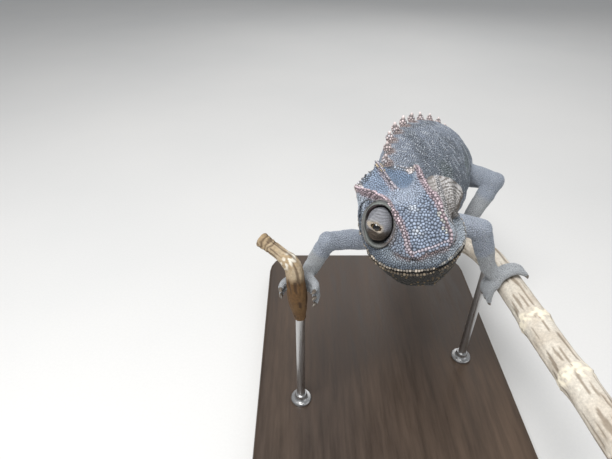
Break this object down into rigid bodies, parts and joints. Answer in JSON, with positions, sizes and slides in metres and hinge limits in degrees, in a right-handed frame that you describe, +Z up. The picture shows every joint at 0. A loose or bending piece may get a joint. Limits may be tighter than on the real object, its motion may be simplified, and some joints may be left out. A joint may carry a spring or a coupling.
{
  "type": "chameleon model",
  "caption": "Life-size still model of a Namaqua chameleon gripping two cut lengths of branch, held on rods over a flat display base.",
  "frame": {"origin": "middle of the display base's underside, on the floor", "axes": "+Z up, -Y towards the side that the snout points to, +X to the animal's left"},
  "size_m": [0.096, 0.1799, 0.1075],
  "materials": {
    "skin": "matte granular scales",
    "casque": "matte plate-like scales",
    "turret": "matte folded lid skin",
    "eye": "wet gloss",
    "bark": "pale smooth bark",
    "twig": "brown flaking bark",
    "stand": "dark satin stain",
    "rod": "satin"
  },
  "bodies": {
    "root": {"head": "skin", "lower_jaw": "skin", "neck": "skin", "trunk": "skin", "tail_base": "skin", "tail_middle": "skin", "tail_tip": "skin", "left_foreleg_upper": "skin", "left_foreleg_lower": "skin", "left_foreleg_foot": "skin", "left_foreleg_inner_toes": "skin", "left_foreleg_outer_toes": "skin", "left_hindleg_upper": "skin", "left_hindleg_lower": "skin", "left_hindleg_foot": "skin", "left_hindleg_inner_toes": "skin", "left_hindleg_outer_toes": "skin", "right_foreleg_upper": "skin", "right_foreleg_lower": "skin", "right_foreleg_foot": "skin", "right_foreleg_inner_toes": "skin", "right_foreleg_outer_toes": "skin", "right_hindleg_upper": "skin", "right_hindleg_lower": "skin", "right_hindleg_foot": "skin", "right_hindleg_inner_toes": "skin", "right_hindleg_outer_toes": "skin", "casque": "casque", "eye_turret_left": "turret", "eye_turret_right": "turret", "eye_left": "eye", "eye_right": "eye", "perch_main": "bark", "perch_side": "twig", "stand_base": "stand", "stand_rod_main": "rod", "stand_rod_side": "rod"}
  },
  "joints": []
}
